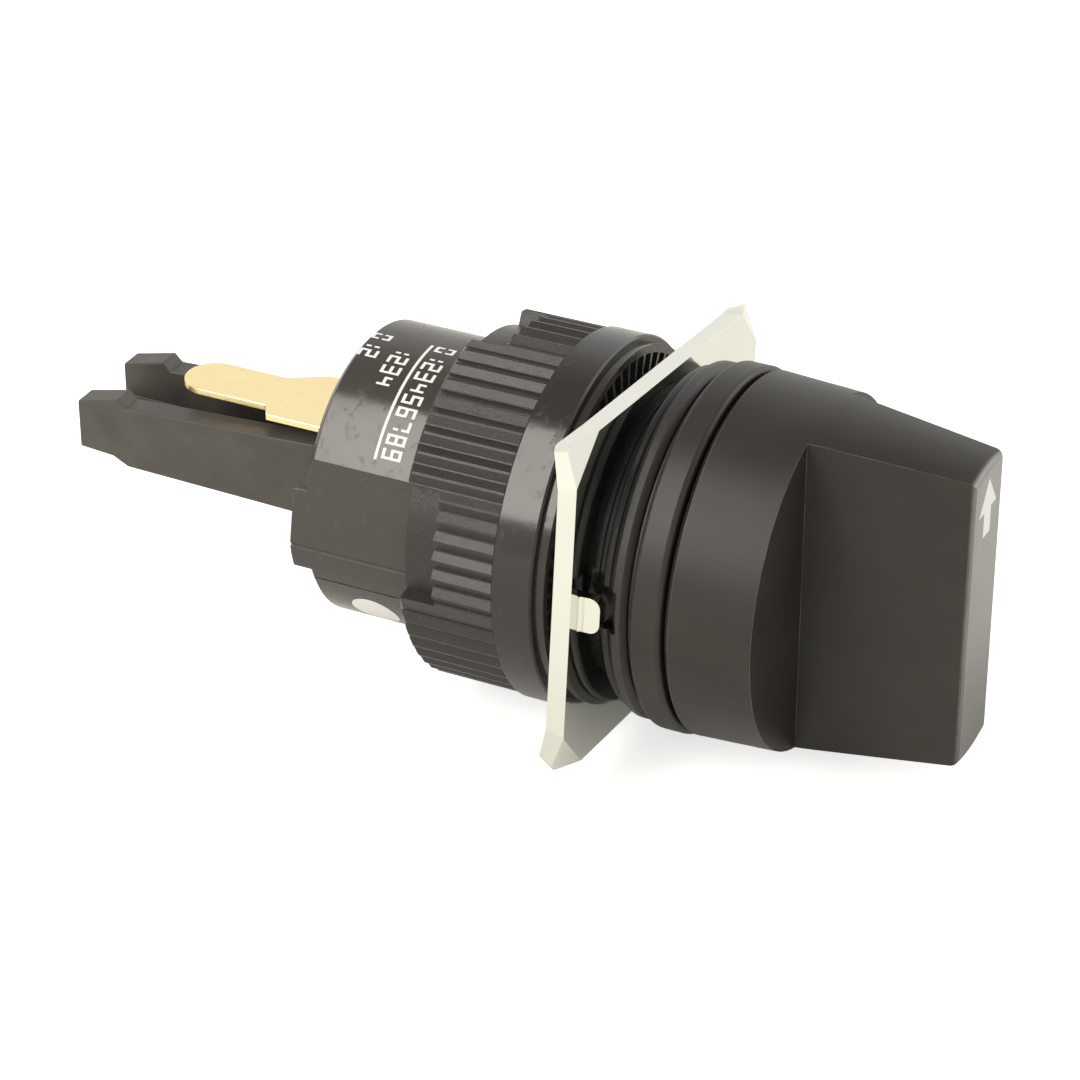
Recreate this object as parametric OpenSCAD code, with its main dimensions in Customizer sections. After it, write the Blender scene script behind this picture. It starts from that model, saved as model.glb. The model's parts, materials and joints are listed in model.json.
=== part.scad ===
// Selector switch operator for a 16 mm panel hole, without its contact block.
// +Y runs along the switch's axis, away from the knob. +Z is up and the knob points up at rest.
// The origin is on the axis, where the front of the panel meets the gasket.

/* [Knob] */
// Step in diameter from the bezel ring down to the knob's skirt
knob_inset = 0.2; // [0:0.1:0.8]
// Fall in diameter along the skirt, from back to front
skirt_taper = 0.4; // [0:0.1:1]
// Length of the round skirt
skirt_l = 4.6; // [4:0.1:6]
// Reach of the lever grip in front of the skirt
lever_l = 8.5; // [6:0.1:11]
// Fall in diameter across the lever's tips, from the skirt to the front face
lever_taper = 1.85; // [1:0.05:4]
// Rounding of the lever's tips at the front face
lever_nose = 0.5; // [0.2:0.05:1]
// Thickness of the lever where it leaves the skirt
lever_root_t = 5.8; // [5.2:0.1:7]
// Thickness of the lever at its front face
lever_tip_t = 3.9; // [3.4:0.1:5]
// Depth of the hollow inside the skirt
knob_hollow = 3; // [1:0.1:3.4]
// Wall of the skirt around that hollow
knob_wall = 1.2; // [0.8:0.1:2]
// Height of the pointer mark
mark_h = 3.2; // [1.5:0.1:4]
// Distance of the mark from the lever's tip
mark_inset = 0.85; // [0.6:0.05:2]
// Depth of the pointer mark's pocket
mark_depth = 0.35; // [0.2:0.05:0.6]

/* [Front] */
// Diameter of the bezel ring
bezel_d = 19.4; // [19.2:0.1:20.4]
// Thickness of the bezel ring
bezel_t = 1.7; // [1.2:0.1:2.6]
// Gap between the knob and the bezel ring
knob_gap = 0.15; // [0.1:0.05:0.4]
// Step in diameter from the bezel ring down to the housing's collar
collar_inset = 0.5; // [0.2:0.1:1]
// Thickness of the housing's collar
collar_t = 1.0; // [0.7:0.1:1.6]
// Width of the groove between the bezel ring and the collar
groove_w = 0.3; // [0.2:0.05:0.6]
// Depth of that groove
groove_depth = 0.45; // [0.2:0.05:0.8]
// Thickness of the panel gasket
gasket_t = 0.5; // [0.3:0.1:1.2]
// Step in diameter from the collar down to the panel gasket
gasket_inset = 0.7; // [0.3:0.1:1.2]
// Width of the gasket's ring round the barrel
gasket_w = 1.2; // [0.8:0.05:1.5]
// Depth along the axis of the tab's notch in the collar
tab_notch = 0.47; // [0.2:0.01:0.8]

/* [Barrel] */
// Wall of the barrel
barrel_wall = 1.1; // [0.8:0.05:1.4]
// Length of the neck and barrel behind the gasket
barrel_l = 17.6; // [16.5:0.1:22]
// Thickness of the wall that carries the shaft
front_wall = 3; // [2.4:0.1:3.6]
// Depth of the barrel's side flat
flat_cut = 0.4; // [0.1:0.05:0.6]
// Angle of the side flat above the left side
flat_angle = 10.5; // [0:0.5:20]
// Lower and upper angle of the side rail above the left side
rail_low = -18.5; // [-21:0.5:-12]
rail_high = 15.5; // [10:0.5:24]
// Angle of the moulded line below the left side
line_angle = -23; // [-30:0.5:-22]
// Angle of the moulded line at the flat's lower edge
ridge_angle = -7.8; // [-12:0.1:-6]
// Depth of the undercut that ends the neck's thread
undercut_depth = 0.3; // [0.15:0.05:0.5]
// Reach of the side rail behind the barrel's rim
rail_reach = 0.8; // [0.3:0.1:1.5]

/* [Lock plate] */
// How much wider than high the lock plate is
plate_extra = 4.1; // [2:0.1:6]
// How much lower the lock plate is than the nut's flange
plate_margin = 1.55; // [0.5:0.05:3]
// Thickness of its sheet
plate_t = 1; // [0.6:0.05:1.2]
// Length of each bent corner along the plate's edges
corner_l = 2.3; // [1.5:0.1:3]
// Angle to which the corners are bent back
corner_bend = 28; // [5:1:40]
// Radius of the bent corners' tips
corner_r = 0.5; // [0.1:0.05:0.8]
// Free play between the gasket and the plate
plate_play = 0.65; // [0.65:0.05:1.5]
// Turn of the loose plate about the axis
plate_turn = 5.8; // [0:0.5:8]
// Width of the tab
tab_w = 1.9; // [1.4:0.1:2.4]
// Thickness of the tab
tab_t = 0.7; // [0.5:0.05:0.9]
// Reach of the tab in front of the plate
tab_l = 1.15; // [0.8:0.05:1.3]
// Radius of the tab's two front corners
tab_r = 0.55; // [0.2:0.05:0.8]
// How far the tab sits below the middle of the plate's side
tab_drop = 0.25; // [-0.5:0.05:0.5]

/* [Ring nut] */
// Height of the nut's smooth flange above the ribs
flange_step = 0.125; // [0.05:0.005:0.4]
// Thickness of that flange
nut_flange_t = 2.25; // [1.5:0.05:3]
// Height of the ribs' tops above the sleeve in the notches
rib_step = 0.9; // [0.6:0.05:1.2]
// Depth of the grooves between the ribs
rib_depth = 0.25; // [0.2:0.05:0.5]
// Number of ribs
rib_count = 58; // [36:1:64]
// Length of the ribbed part
rib_l = 5.35; // [4:0.05:7]
// Thickness of the small front rim
nut_rim_t = 0.55; // [0.5:0.05:1.4]
// Step from the flange in to the small front rim
rim_step = 0.375; // [0.2:0.005:0.6]
// Gap between the lock plate and the nut
nut_gap = 1.25; // [0.7:0.05:1.5]
// Number of notches in the nut's rear end
nut_notches = 4; // [2:1:6]
// Angle of the near notch above the left side
notch_angle = 10; // [0:0.5:20]
// Angle that each notch covers
notch_span = 37; // [15:1:40]
// Depth of each notch
notch_depth = 1.95; // [1:0.05:2.6]
// Thickness of the sleeve left inside the notches, with its thread gap
sleeve_wall = 1; // [0.7:0.05:1.2]
// Number of radial teeth on the nut's front face
tooth_count = 60; // [24:1:72]
// Radial reach of those teeth from the barrel
tooth_reach = 1.2; // [0.8:0.05:1.4]

/* [Mechanism] */
// Step from the barrel's bore in to the shaft's journal
journal_step = 2.2; // [1.8:0.05:2.6]
// Diameter of the shaft's drive stub inside the knob
stub_d = 6; // [5:0.1:6.4]
// Thickness of the drive stub across its flats
stub_t = 3.2; // [2.4:0.1:3.4]
// Length of the drive stub
stub_l = 9; // [6:0.1:10]
// Diameter of the O-ring's section
oring_t = 1.1; // [0.8:0.05:1.2]
// Gap between the cam drum and the barrel
drum_gap = 0.7; // [0.6:0.05:0.9]
// Length of the cam drum's full-width part
drum_l = 4.8; // [4.6:0.1:6]
// Rise of the cam face per millimetre across the axis
cam_slope = 0.25; // [0.15:0.01:0.28]
// Distance of the push rods inside the cam drum's rim
rod_inset = 0.8; // [0.6:0.05:1]
// Diameter of a push rod
rod_d = 1.8; // [1.2:0.05:2]
// Diameter of a detent pin
pin_d = 1.9; // [1.4:0.05:2]
// Thickness of the detent ring's wall
detent_wall = 0.55; // [0.45:0.05:0.6]
// Angle between two switch positions
step_angle = 45; // [30:1:45]

/* [Terminals] */
// Width of the terminal carrier's tongue
tongue_w = 6.2; // [5.6:0.1:6.8]
// Height of the tongue where it leaves the barrel
tongue_root_h = 4.7; // [4.2:0.1:5]
// Height of the tongue near its prongs
tongue_tip_h = 4.0; // [3.4:0.1:4.6]
// Gap between the two prongs
prong_gap = 3.35; // [2.6:0.05:3.8]
// Reach of the prongs behind the barrel's rim
tongue_l = 16.5; // [12:0.1:20]
// Length of the thicker block at each prong's end
prong_block = 2.5; // [1.5:0.1:3.5]
// Width of a terminal blade at its tip
blade_w = 3.2; // [2.8:0.1:3.6]
// Width of the blade where it leaves the barrel
blade_root_w = 5.3; // [4:0.1:5.8]
// Thickness of the blade's sheet
blade_t = 0.4; // [0.3:0.05:0.6]
// Distance from the axis to the blade's outer face
blade_z = 3; // [2.9:0.05:3.2]
// Reach of the blade behind the barrel's rim
blade_l = 11.3; // [8:0.1:13]
// Length of the blade's wide part behind the rim
blade_root_l = 5.1; // [3:0.1:6]

/* [Hidden] */

// Fineness of the round shapes
round_fn = 96;
small_fn = 32;
// Overlap that makes a cut or a join certain
eps = 0.05;
// Radial clearances: a running fit and a loose one
run_clear = 0.05;
nut_clear = 0.07;
plate_clear = 0.1;

// Diameters that follow the bezel ring's, from the front to the rear and from the barrel inwards
knob_d = bezel_d - knob_inset;
knob_front_d = knob_d - skirt_taper;
lever_tip_d = knob_front_d - lever_taper;
collar_d = bezel_d - collar_inset;
gasket_d = collar_d - gasket_inset;
barrel_d = gasket_d - 2 * gasket_w;
barrel_bore = barrel_d - 2 * barrel_wall;
flat_x = barrel_d / 2 - flat_cut;
undercut_d = barrel_d - 2 * undercut_depth;
nut_sleeve_d = barrel_d + 2 * sleeve_wall;
nut_rib_d = nut_sleeve_d + 2 * rib_step;
nut_flange_d = nut_rib_d + 2 * flange_step;
nut_rim_d = nut_flange_d - 2 * rim_step;
plate_h = nut_flange_d - plate_margin;
plate_w = plate_h + plate_extra;
drum_d = barrel_bore - 2 * drum_gap;
journal_d = barrel_bore - 2 * journal_step;
rod_x = drum_d / 2 - rod_inset;
tab_x = gasket_d / 2 + 0.4;
tab_z = tab_x * sin(plate_turn) - tab_drop * cos(plate_turn);

// Places along the axis, from the panel forwards
y_collar_back = -gasket_t;
y_collar_front = y_collar_back - collar_t;
y_bezel_back = y_collar_front - groove_w;
y_bezel_front = y_bezel_back - bezel_t;
y_skirt_back = y_bezel_front - knob_gap;
y_skirt_front = y_skirt_back - skirt_l;
y_lever_front = y_skirt_front - lever_l;
// Places along the axis, from the panel backwards
y_plate = plate_play;
y_plate_back = y_plate + plate_t;
y_nut = y_plate_back + nut_gap;
y_nut_flange = y_nut + nut_rim_t;
y_ribs = y_nut_flange + nut_flange_t;
y_nut_back = y_ribs + rib_l;
y_wall_back = y_bezel_back + front_wall;

// Inside the housing
washer_t = 0.4;
y_drum = y_wall_back + washer_t + 0.2;
y_drum_back = y_drum + drum_l;
hub_d = 6.8;
hub_reach = 1.5;
y_hub_back = y_drum_back + hub_reach;
clip_t = 0.4;
clip_gap = 0.05;
clip_margin = 0.35;
y_clip = y_hub_back + clip_gap;
y_shaft_end = y_clip + clip_t + clip_gap + clip_margin;
drive_w = 4.6;
groove_d = 4.4;
clip_d = 6.4;
y_shaft_shoulder = y_skirt_back + eps;
y_stub_front = y_shaft_shoulder - stub_l;
oring_r = journal_d / 2 - oring_t / 2 + 0.02;
y_oring = (y_bezel_back + y_wall_back) / 2;

// Detents and stops
drum_play = 0.15;
detent_r = drum_d / 2 + drum_play;
detent_depth = 0.3;
detent_w = 2.6;
y_detent_pin = y_drum + 1.4;
pin_reach = drum_d / 2 + 0.06;
pin_l = 3;
spring_gap = 0.45;
spring_wire = 0.4;
spring_turns = 5;
stop_span = 16;
stop_reach = 0.7;
stop_play = 1;
detent_l = 2.8;

// Cam face and push rods
cam_y = y_drum_back - 0.1;
rod_lift_gap = 0.15;
rod_center_y = cam_y + (rod_d / 2 + rod_lift_gap) * sqrt(1 + cam_slope * cam_slope);
rod_end_inset = 0.7;
y_rod_end = barrel_l - rod_end_inset;

// Rear end
insulator_t = 1.5;
insulator_inset = 1.9;
y_insulator_back = barrel_l - insulator_inset;
y_insulator = y_insulator_back - insulator_t;
flange_t = 1.5;
flange_gap = 0.4;
flange_w = 2 * (rod_x - rod_d / 2 - flange_gap);
flange_h = 2 * sqrt(pow(barrel_bore / 2 - flange_gap, 2) - flange_w * flange_w / 4);
y_flange = y_insulator - flange_t;
y_carrier = y_flange - 2;
y_tongue_end = barrel_l + tongue_l;
y_channel = barrel_l - 0.6;
web_t = 0.4;
web_z = -0.7;
block_drop = 0.45;
block_slope = 0.6;
fit_gap = 0.05;
y_blade_front = y_flange - 1.2;
y_blade_root_end = barrel_l + blade_root_l;
y_blade_tip = barrel_l + blade_l;
blade_shift = 0.15;

// A round bar along the axis from y0 to y1
module bar(y0, y1, r, fn = round_fn) {
    translate([0, y0, 0]) rotate([-90, 0, 0]) cylinder(h = y1 - y0, r = r, $fn = fn);
}

// A round tube along the axis
module tube(y0, y1, ro, ri, fn = round_fn) {
    difference() {
        bar(y0, y1, ro, fn);
        bar(y0 - eps, y1 + eps, ri, fn);
    }
}

// A turned shape: children are drawn with x as the radius and y along the axis
module turned() {
    rotate([-90, 0, 0]) rotate_extrude($fn = round_fn) children();
}

// An outline seen from behind, x to the right of the front view and y up, from y0 to y1
module slab(y0, y1) {
    translate([0, y1, 0]) rotate([90, 0, 0]) linear_extrude(y1 - y0) children();
}

// A pie slice of the angle span, centred on the angle mid, out to the radius r
module wedge(r, mid, span) {
    steps = 6;
    reach = r / cos(span / 2 / steps);
    polygon(concat([[0, 0]], [for (i = [0:steps]) let (a = mid + span * (i / steps - 0.5))
        reach * [cos(a), sin(a)]]));
}

// A turned ring with its rim corners cut at 45 degrees by c
module rim(y0, y1, ro, ri, c) {
    turned() polygon([[ri, y0], [ro - c, y0], [ro, y0 + c], [ro, y1 - c], [ro - c, y1], [ri, y1]]);
}

module stub_outline(gap = 0) {
    intersection() {
        circle(r = stub_d / 2 + gap, $fn = round_fn);
        square([stub_t + 2 * gap, stub_d + 1], center = true);
    }
}

// Pointer: an arrow head with a short stem, pointing up
module mark_outline() {
    head_h = mark_h * 0.55;
    head_w = lever_tip_t * 0.62;
    stem_w = head_w * 0.4;
    top = lever_tip_d / 2 - mark_inset;
    polygon([[0, top], [head_w / 2, top - head_h], [stem_w / 2, top - head_h], [stem_w / 2, top - mark_h],
             [-stem_w / 2, top - mark_h], [-stem_w / 2, top - head_h], [-head_w / 2, top - head_h]]);
}

// The skirt and the lever's tips as one turned shape
module knob_body() {
    edge = 0.25;
    tip = lever_tip_d / 2 - lever_nose;
    steps = 6;
    ease = 0.9;
    fall = 0.02;
    turned() polygon(concat([[0, y_lever_front]],
        [for (i = [0:steps]) let (a = 90 * i / steps)
            [tip + lever_nose * sin(a), y_lever_front + lever_nose * (1 - cos(a))]],
        [[knob_front_d / 2 - ease * lever_taper / lever_l / 2 - fall / 2, y_skirt_front - ease],
         [knob_front_d / 2 - fall, y_skirt_front],
         [knob_front_d / 2 + ease * skirt_taper / skirt_l / 2 - fall / 2, y_skirt_front + ease],
         [knob_d / 2, y_skirt_back - edge], [knob_d / 2 - edge, y_skirt_back], [0, y_skirt_back]]));
}

// What is cut away beside the lever, on the side sx
module lever_flank(sx) {
    edge = 0.12;
    root = lever_root_t / 2;
    tip = lever_tip_t / 2;
    linear_extrude(knob_d + 1, center = true)
        polygon([for (q = [[root, y_skirt_front], [tip, y_lever_front + edge], [tip - edge, y_lever_front],
                           [tip - edge, y_lever_front - 1], [knob_d, y_lever_front - 1],
                           [knob_d, y_skirt_front]]) [sx * q[0], q[1]]]);
}

module knob() {
    boss_d = stub_d + 2.4;
    color([0.2, 0.19, 0.17]) difference() {
        knob_body();
        for (sx = [-1, 1]) lever_flank(sx);
        tube(y_skirt_back - knob_hollow, y_skirt_back + eps, knob_d / 2 - knob_wall, boss_d / 2);
        slab(y_stub_front - fit_gap, y_skirt_back + eps) stub_outline(fit_gap);
        slab(y_lever_front - eps, y_lever_front + mark_depth) mark_outline();
    }
}

module pointer_mark() {
    color([0.93, 0.93, 0.9]) slab(y_lever_front, y_lever_front + mark_depth) mark_outline();
}

module selector_shaft() {
    color([0.85, 0.84, 0.8]) difference() {
        union() {
            slab(y_stub_front, y_shaft_shoulder + eps) stub_outline();
            bar(y_shaft_shoulder, y_wall_back + washer_t + 0.1, journal_d / 2);
            slab(y_wall_back, y_shaft_end) square(drive_w, center = true);
        }
        tube(y_oring - oring_t / 2, y_oring + oring_t / 2, journal_d, journal_d / 2 - oring_t + run_clear);
        tube(y_clip - clip_gap, y_clip + clip_t + clip_gap, drive_w, groove_d / 2 - 0.2);
        translate([-drive_w, y_detent_pin, 0]) rotate([0, 90, 0])
            cylinder(h = 2 * drive_w, d = pin_d + 2 * run_clear, $fn = small_fn);
    }
}

module shaft_o_ring() {
    color([0.08, 0.08, 0.08]) turned()
        translate([oring_r, y_oring]) circle(d = oring_t - 0.1, $fn = small_fn);
}

module bezel_ring() {
    color([0.21, 0.2, 0.18])
        rim(y_bezel_front, y_bezel_back, bezel_d / 2, journal_d / 2 + 0.6, 0.2);
}

// The rail: a stretch of the barrel's wall that reaches past the rim
module side_rail() {
    root_l = 0.5;
    difference() {
        slab(barrel_l - root_l, barrel_l + rail_reach) intersection() {
            circle(r = barrel_d / 2, $fn = round_fn);
            wedge(barrel_d, 180 - (rail_low + rail_high) / 2, rail_high - rail_low);
        }
        bar(y_ribs, barrel_l + 2 * rail_reach, barrel_bore / 2);
    }
}

module barrel_housing() {
    r = barrel_d / 2;
    edge = 0.3;
    notch = 0.8;
    notch_play = 0.2;
    undercut_l = 1;
    line_w = 0.16;
    line_depth = 0.12;
    color([0.1, 0.1, 0.1]) difference() {
      union() {
        difference() {
            turned() polygon([[0, y_bezel_back], [collar_d / 2 - groove_depth, y_bezel_back],
                              [collar_d / 2 - groove_depth, y_collar_front],
                              [collar_d / 2 - edge, y_collar_front], [collar_d / 2, y_collar_front + edge],
                              [collar_d / 2, y_collar_back - edge], [collar_d / 2 - edge, y_collar_back],
                              [r, y_collar_back], [r, barrel_l - edge], [r - edge, barrel_l], [0, barrel_l]]);
            bar(y_bezel_back - eps, y_wall_back + eps, journal_d / 2 + run_clear);
            bar(y_wall_back, barrel_l + eps, barrel_bore / 2);
            translate([-collar_d / 2 - eps, y_collar_back - tab_notch, tab_z - tab_w / 2 - notch_play])
                cube([notch + eps, tab_notch + eps, tab_w + 2 * notch_play]);
            tube(y_nut_back - undercut_l + 0.1, y_nut_back + 0.1, r + 1, undercut_d / 2);
            rotate([0, line_angle, 0]) translate([-r - 1, y_nut_back + 0.2, -line_w / 2])
                cube([1 + line_depth, barrel_l, line_w]);
        }
        side_rail();
      }
      rotate([0, flat_angle, 0]) translate([-flat_x - r, y_nut_back - 1, -r]) cube([r, barrel_l, 2 * r]);
      rotate([0, ridge_angle, 0]) translate([-r - 1, y_nut_back + 0.2, -line_w / 2])
          cube([1 + line_depth, barrel_l, line_w]);
    }
}

module panel_gasket() {
    notch = 0.8;
    notch_play = 0.2;
    color([0.06, 0.06, 0.06]) difference() {
        rim(y_collar_back, 0, gasket_d / 2, barrel_d / 2, 0.12);
        translate([-gasket_d / 2 - eps, -gasket_t - eps, tab_z - tab_w / 2 - notch_play])
            cube([notch + eps, gasket_t + 2 * eps, tab_w + 2 * notch_play]);
    }
}

// One bent corner of the lock plate: a leaf turned back about the fold line on the front face
module corner_leaf() {
    fold = corner_l / sqrt(2);
    rotate([0, 0, 45]) rotate([0, -corner_bend, 0]) linear_extrude(plate_t)
        polygon([[0, fold], for (a = [45:-22.5:-45]) [fold - corner_r * (sqrt(2) - cos(a)), corner_r * sin(a)],
                 [0, -fold]]);
}

module plate_outline() {
    polygon([for (q = [[1, 1], [-1, 1], [-1, -1], [1, -1]]) let (flip = q[0] * q[1] > 0)
        for (k = [0, 1]) let (along = (k == 0) == flip)
            [q[0] * (plate_w / 2 - (along ? 0 : corner_l)), q[1] * (plate_h / 2 - (along ? corner_l : 0))]]);
}

module lock_plate() {
    color([0.85, 0.86, 0.83]) rotate([0, plate_turn, 0]) difference() {
        union() {
            slab(y_plate, y_plate_back) plate_outline();
            for (sx = [0, 1], sz = [0, 1])
                mirror([sx, 0, 0]) mirror([0, 0, sz])
                    translate([plate_w / 2 - corner_l / 2, y_plate, plate_h / 2 - corner_l / 2])
                        rotate([90, 0, 0]) mirror([0, 0, 1]) corner_leaf();
            translate([-tab_x, 0, -tab_drop]) rotate([0, -90, 0]) linear_extrude(tab_t)
                polygon([[-tab_w / 2, y_plate_back - eps],
                         for (k = [-1, 1], a = [0:22.5:90]) let (t = k < 0 ? a : 90 - a)
                             [k * (tab_w / 2 - tab_r * (1 - cos(t))), y_plate - tab_l + tab_r * (1 - sin(t))],
                         [tab_w / 2, y_plate_back - eps]]);
        }
        bar(y_plate - 1, y_plate_back + 1, barrel_d / 2 + plate_clear);
    }
}

// The ribbed outline: low ridges with sloping sides, narrow tops and narrow grooves
module rib_outline() {
    pitch = 360 / rib_count;
    ro = nut_rib_d / 2;
    ri = ro - rib_depth;
    polygon([for (i = [0:rib_count - 1]) for (p = [[ri, 0.19], [ri, 0.27], [ro, 0.67], [ro, 0.79]])
        p[0] * [cos((i + p[1]) * pitch), sin((i + p[1]) * pitch)]]);
}

module ring_nut() {
    tooth_l = 0.4;
    rib_edge = 0.2;
    slot_w = PI * (barrel_d + tooth_reach) / tooth_count - 0.22;
    notch_mid = 180 - notch_angle;
    color([0.09, 0.09, 0.09]) difference() {
        union() {
            bar(y_nut, y_nut_back, nut_sleeve_d / 2);
            bar(y_nut, y_nut_flange + eps, nut_rim_d / 2);
            rim(y_nut_flange, y_ribs, nut_flange_d / 2, barrel_d / 2, 0.1);
            difference() {
                intersection() {
                    slab(y_ribs - eps, y_nut_back) rib_outline();
                    rim(y_nut_flange, y_nut_back, nut_rib_d / 2 + rib_edge, 0, 2 * rib_edge);
                }
                for (i = [0:nut_notches - 1]) difference() {
                    slab(y_nut_back - notch_depth, y_nut_back + eps)
                        wedge(nut_rib_d, notch_mid + i * 360 / nut_notches, notch_span);
                    bar(y_nut, y_nut_back + 1, nut_sleeve_d / 2 - eps);
                }
            }
        }
        bar(y_nut - eps, y_nut_back + eps, barrel_d / 2 + nut_clear);
        for (i = [0:tooth_count - 1]) rotate([0, i * 360 / tooth_count, 0])
            translate([barrel_d / 2, y_nut - eps, -slot_w / 2]) cube([tooth_reach, tooth_l, slot_w]);
    }
}

module thrust_washer() {
    color([0.8, 0.8, 0.78])
        tube(y_wall_back, y_wall_back + washer_t, barrel_bore / 2 - 0.4, journal_d / 2 + 0.15);
}

module detent_ring() {
    y1 = y_drum + detent_l;
    color([0.75, 0.74, 0.7]) union() {
        difference() {
            bar(y_drum, y1, barrel_bore / 2);
            bar(y_drum - eps, y1 + eps, detent_r);
            for (a = [-step_angle, 0, step_angle], side = [0, 180]) rotate([0, a + side, 0])
                translate([0, y_detent_pin - detent_w / 2, -pin_d / 2])
                    cube([detent_r + detent_depth, detent_w, pin_d]);
        }
        difference() {
            for (side = [90, 270])
                slab(y_drum, y1) wedge(detent_r + eps, side, stop_span);
            bar(y_drum - eps, y1 + eps, detent_r - stop_reach);
        }
    }
}

module cam_drum() {
    travel = 2 * step_angle + stop_span + 2 * stop_play;
    hub_clear = 0.8;
    color([0.88, 0.87, 0.82]) difference() {
        bar(y_drum, y_hub_back, drum_d / 2);
        // the tilted cam face, around the hub
        difference() {
            translate([0, cam_y, 0]) rotate([atan(cam_slope), 0, 0])
                translate([-drum_d, 0, -drum_d]) cube(2 * drum_d);
            bar(y_drum, y_hub_back + 2 * drum_d, hub_d / 2);
        }
        // room for the stops
        difference() {
            for (side = [90, 270])
                slab(y_drum - eps, y_drum + detent_l + 0.2) wedge(drum_d, side, travel);
            bar(y_drum - 1, y_drum + detent_l + 1, detent_r - stop_reach - hub_clear / 4);
        }
        slab(y_drum - eps, y_hub_back + eps) square(drive_w + 2 * run_clear, center = true);
        translate([-drum_d, y_detent_pin, 0]) rotate([0, 90, 0])
            cylinder(h = 2 * drum_d, d = pin_d + 2 * run_clear, $fn = small_fn);
    }
}

module retaining_clip() {
    color([0.7, 0.71, 0.72]) difference() {
        tube(y_clip, y_clip + clip_t, clip_d / 2, groove_d / 2);
        translate([0, y_clip - eps, -groove_d * 0.35]) cube([clip_d, clip_t + 2 * eps, groove_d * 0.7]);
    }
}

// One detent pin with a round nose, on the side sx
module detent_pin(sx) {
    color([0.72, 0.73, 0.75]) translate([0, y_detent_pin, 0]) rotate([0, sx * 90, 0]) union() {
        translate([0, 0, pin_reach - pin_l]) cylinder(h = pin_l - pin_d / 2, d = pin_d, $fn = small_fn);
        translate([0, 0, pin_reach - pin_d / 2]) sphere(d = pin_d, $fn = small_fn);
    }
}

module detent_pin_left() {
    detent_pin(-1);
}

module detent_pin_right() {
    detent_pin(1);
}

// The coil between the two detent pins, as one swept tube
module detent_spring() {
    half = pin_reach - pin_l - spring_gap - spring_wire / 2;
    coil_r = pin_d / 2 - spring_wire / 2;
    steps = 12 * spring_turns;
    sides = 6;
    function center(i) = [coil_r * cos(i * 30), y_detent_pin + coil_r * sin(i * 30)];
    points = [for (i = [0:steps]) for (k = [0:sides - 1])
        let (a = k * 360 / sides, out = spring_wire / 2 * cos(a), c = center(i))
            [half * (2 * i / steps - 1) + spring_wire / 2 * sin(a),
             c[1] + out * sin(i * 30), c[0] + out * cos(i * 30)]];
    faces = concat(
        [[for (k = [0:sides - 1]) k]],
        [for (i = [0:steps - 1]) for (k = [0:sides - 1])
            let (a = i * sides + k, b = i * sides + (k + 1) % sides) [a, a + sides, b + sides, b]],
        [[for (k = [sides - 1:-1:0]) steps * sides + k]]);
    color([0.6, 0.6, 0.62]) polyhedron(points = points, faces = faces);
}

// One push rod with a round nose, on the side sx
module push_rod(sx) {
    color([0.88, 0.87, 0.82]) translate([sx * rod_x, 0, 0]) union() {
        bar(rod_center_y, y_rod_end, rod_d / 2, small_fn);
        translate([0, rod_center_y, 0]) sphere(d = rod_d, $fn = small_fn);
    }
}

module push_rod_left() {
    push_rod(-1);
}

module push_rod_right() {
    push_rod(1);
}

// The outline of both blades, which the parts that hold them are cut to
module blade_slots() {
    for (side = [-1, 1]) translate([blade_shift, side * (blade_z - blade_t / 2)])
        square([blade_root_w, blade_t], center = true);
}

module rear_insulator() {
    color([0.12, 0.12, 0.12]) difference() {
        bar(y_insulator, y_insulator_back, barrel_bore / 2);
        slab(y_insulator - eps, y_insulator_back + eps) union() {
            square([tongue_w, tongue_root_h], center = true);
            blade_slots();
        }
        for (sx = [-1, 1]) translate([sx * rod_x, 0, 0])
            bar(y_insulator - eps, y_insulator_back + eps, rod_d / 2 + run_clear, small_fn);
    }
}

// The tongue seen from the side: y along the axis and z up
module tongue_profile() {
    root = tongue_root_h / 2;
    tip = tongue_tip_h / 2;
    y_block = y_tongue_end - prong_block;
    polygon([[y_carrier, -root], [y_insulator_back, -root], [y_block - block_drop, -tip],
             [y_block + block_drop, block_drop - tip], [y_tongue_end, block_slope - tip],
             [y_tongue_end, tip - block_slope], [y_block, tip], [y_block - block_drop, tip - block_drop],
             [y_insulator_back, root], [y_carrier, root]]);
}

module terminal_carrier() {
    color([0.2, 0.19, 0.18]) difference() {
        union() {
            rotate([90, 0, 90]) linear_extrude(tongue_w, center = true) tongue_profile();
            slab(y_flange, y_insulator) square([flange_w, flange_h], center = true);
        }
        // the channel between the prongs, above and below the web
        for (part = [[web_z + web_t / 2, flange_h], [web_z - web_t / 2 - flange_h, flange_h]])
            translate([-prong_gap / 2, y_channel, part[0]]) cube([prong_gap, tongue_l + 2, part[1]]);
        slab(y_flange - eps, y_insulator + eps) blade_slots();
        for (sx = [-1, 1]) translate([sx * rod_x, 0, 0])
            bar(y_flange - eps, y_insulator + eps, rod_d / 2 + 0.2, small_fn);
    }
}

// One blade: a narrow tab with a round tip and a wide root up to y_root, cut from sheet
module lamp_blade(y_root) {
    half = blade_w / 2;
    left = blade_shift - blade_root_w / 2;
    right = blade_shift + blade_root_w / 2;
    ease = 0.5;
    tip_steps = 16;
    color([0.9, 0.75, 0.4]) translate([0, 0, blade_z - blade_t]) linear_extrude(blade_t)
        polygon(concat([[half, y_blade_front], [half, y_flange], [right, y_flange],
                        [right, y_root - 2 * ease], [half, y_root + 2 * ease]],
                       [for (i = [0:tip_steps]) let (a = 180 * i / tip_steps)
                           [half * cos(a), y_blade_tip - half + half * sin(a)]],
                       [[-half, y_root + ease], [left, y_root], [left, y_flange],
                        [-half, y_flange], [-half, y_blade_front]]));
}

module upper_lamp_terminal() {
    lamp_blade(y_blade_root_end);
}

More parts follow.
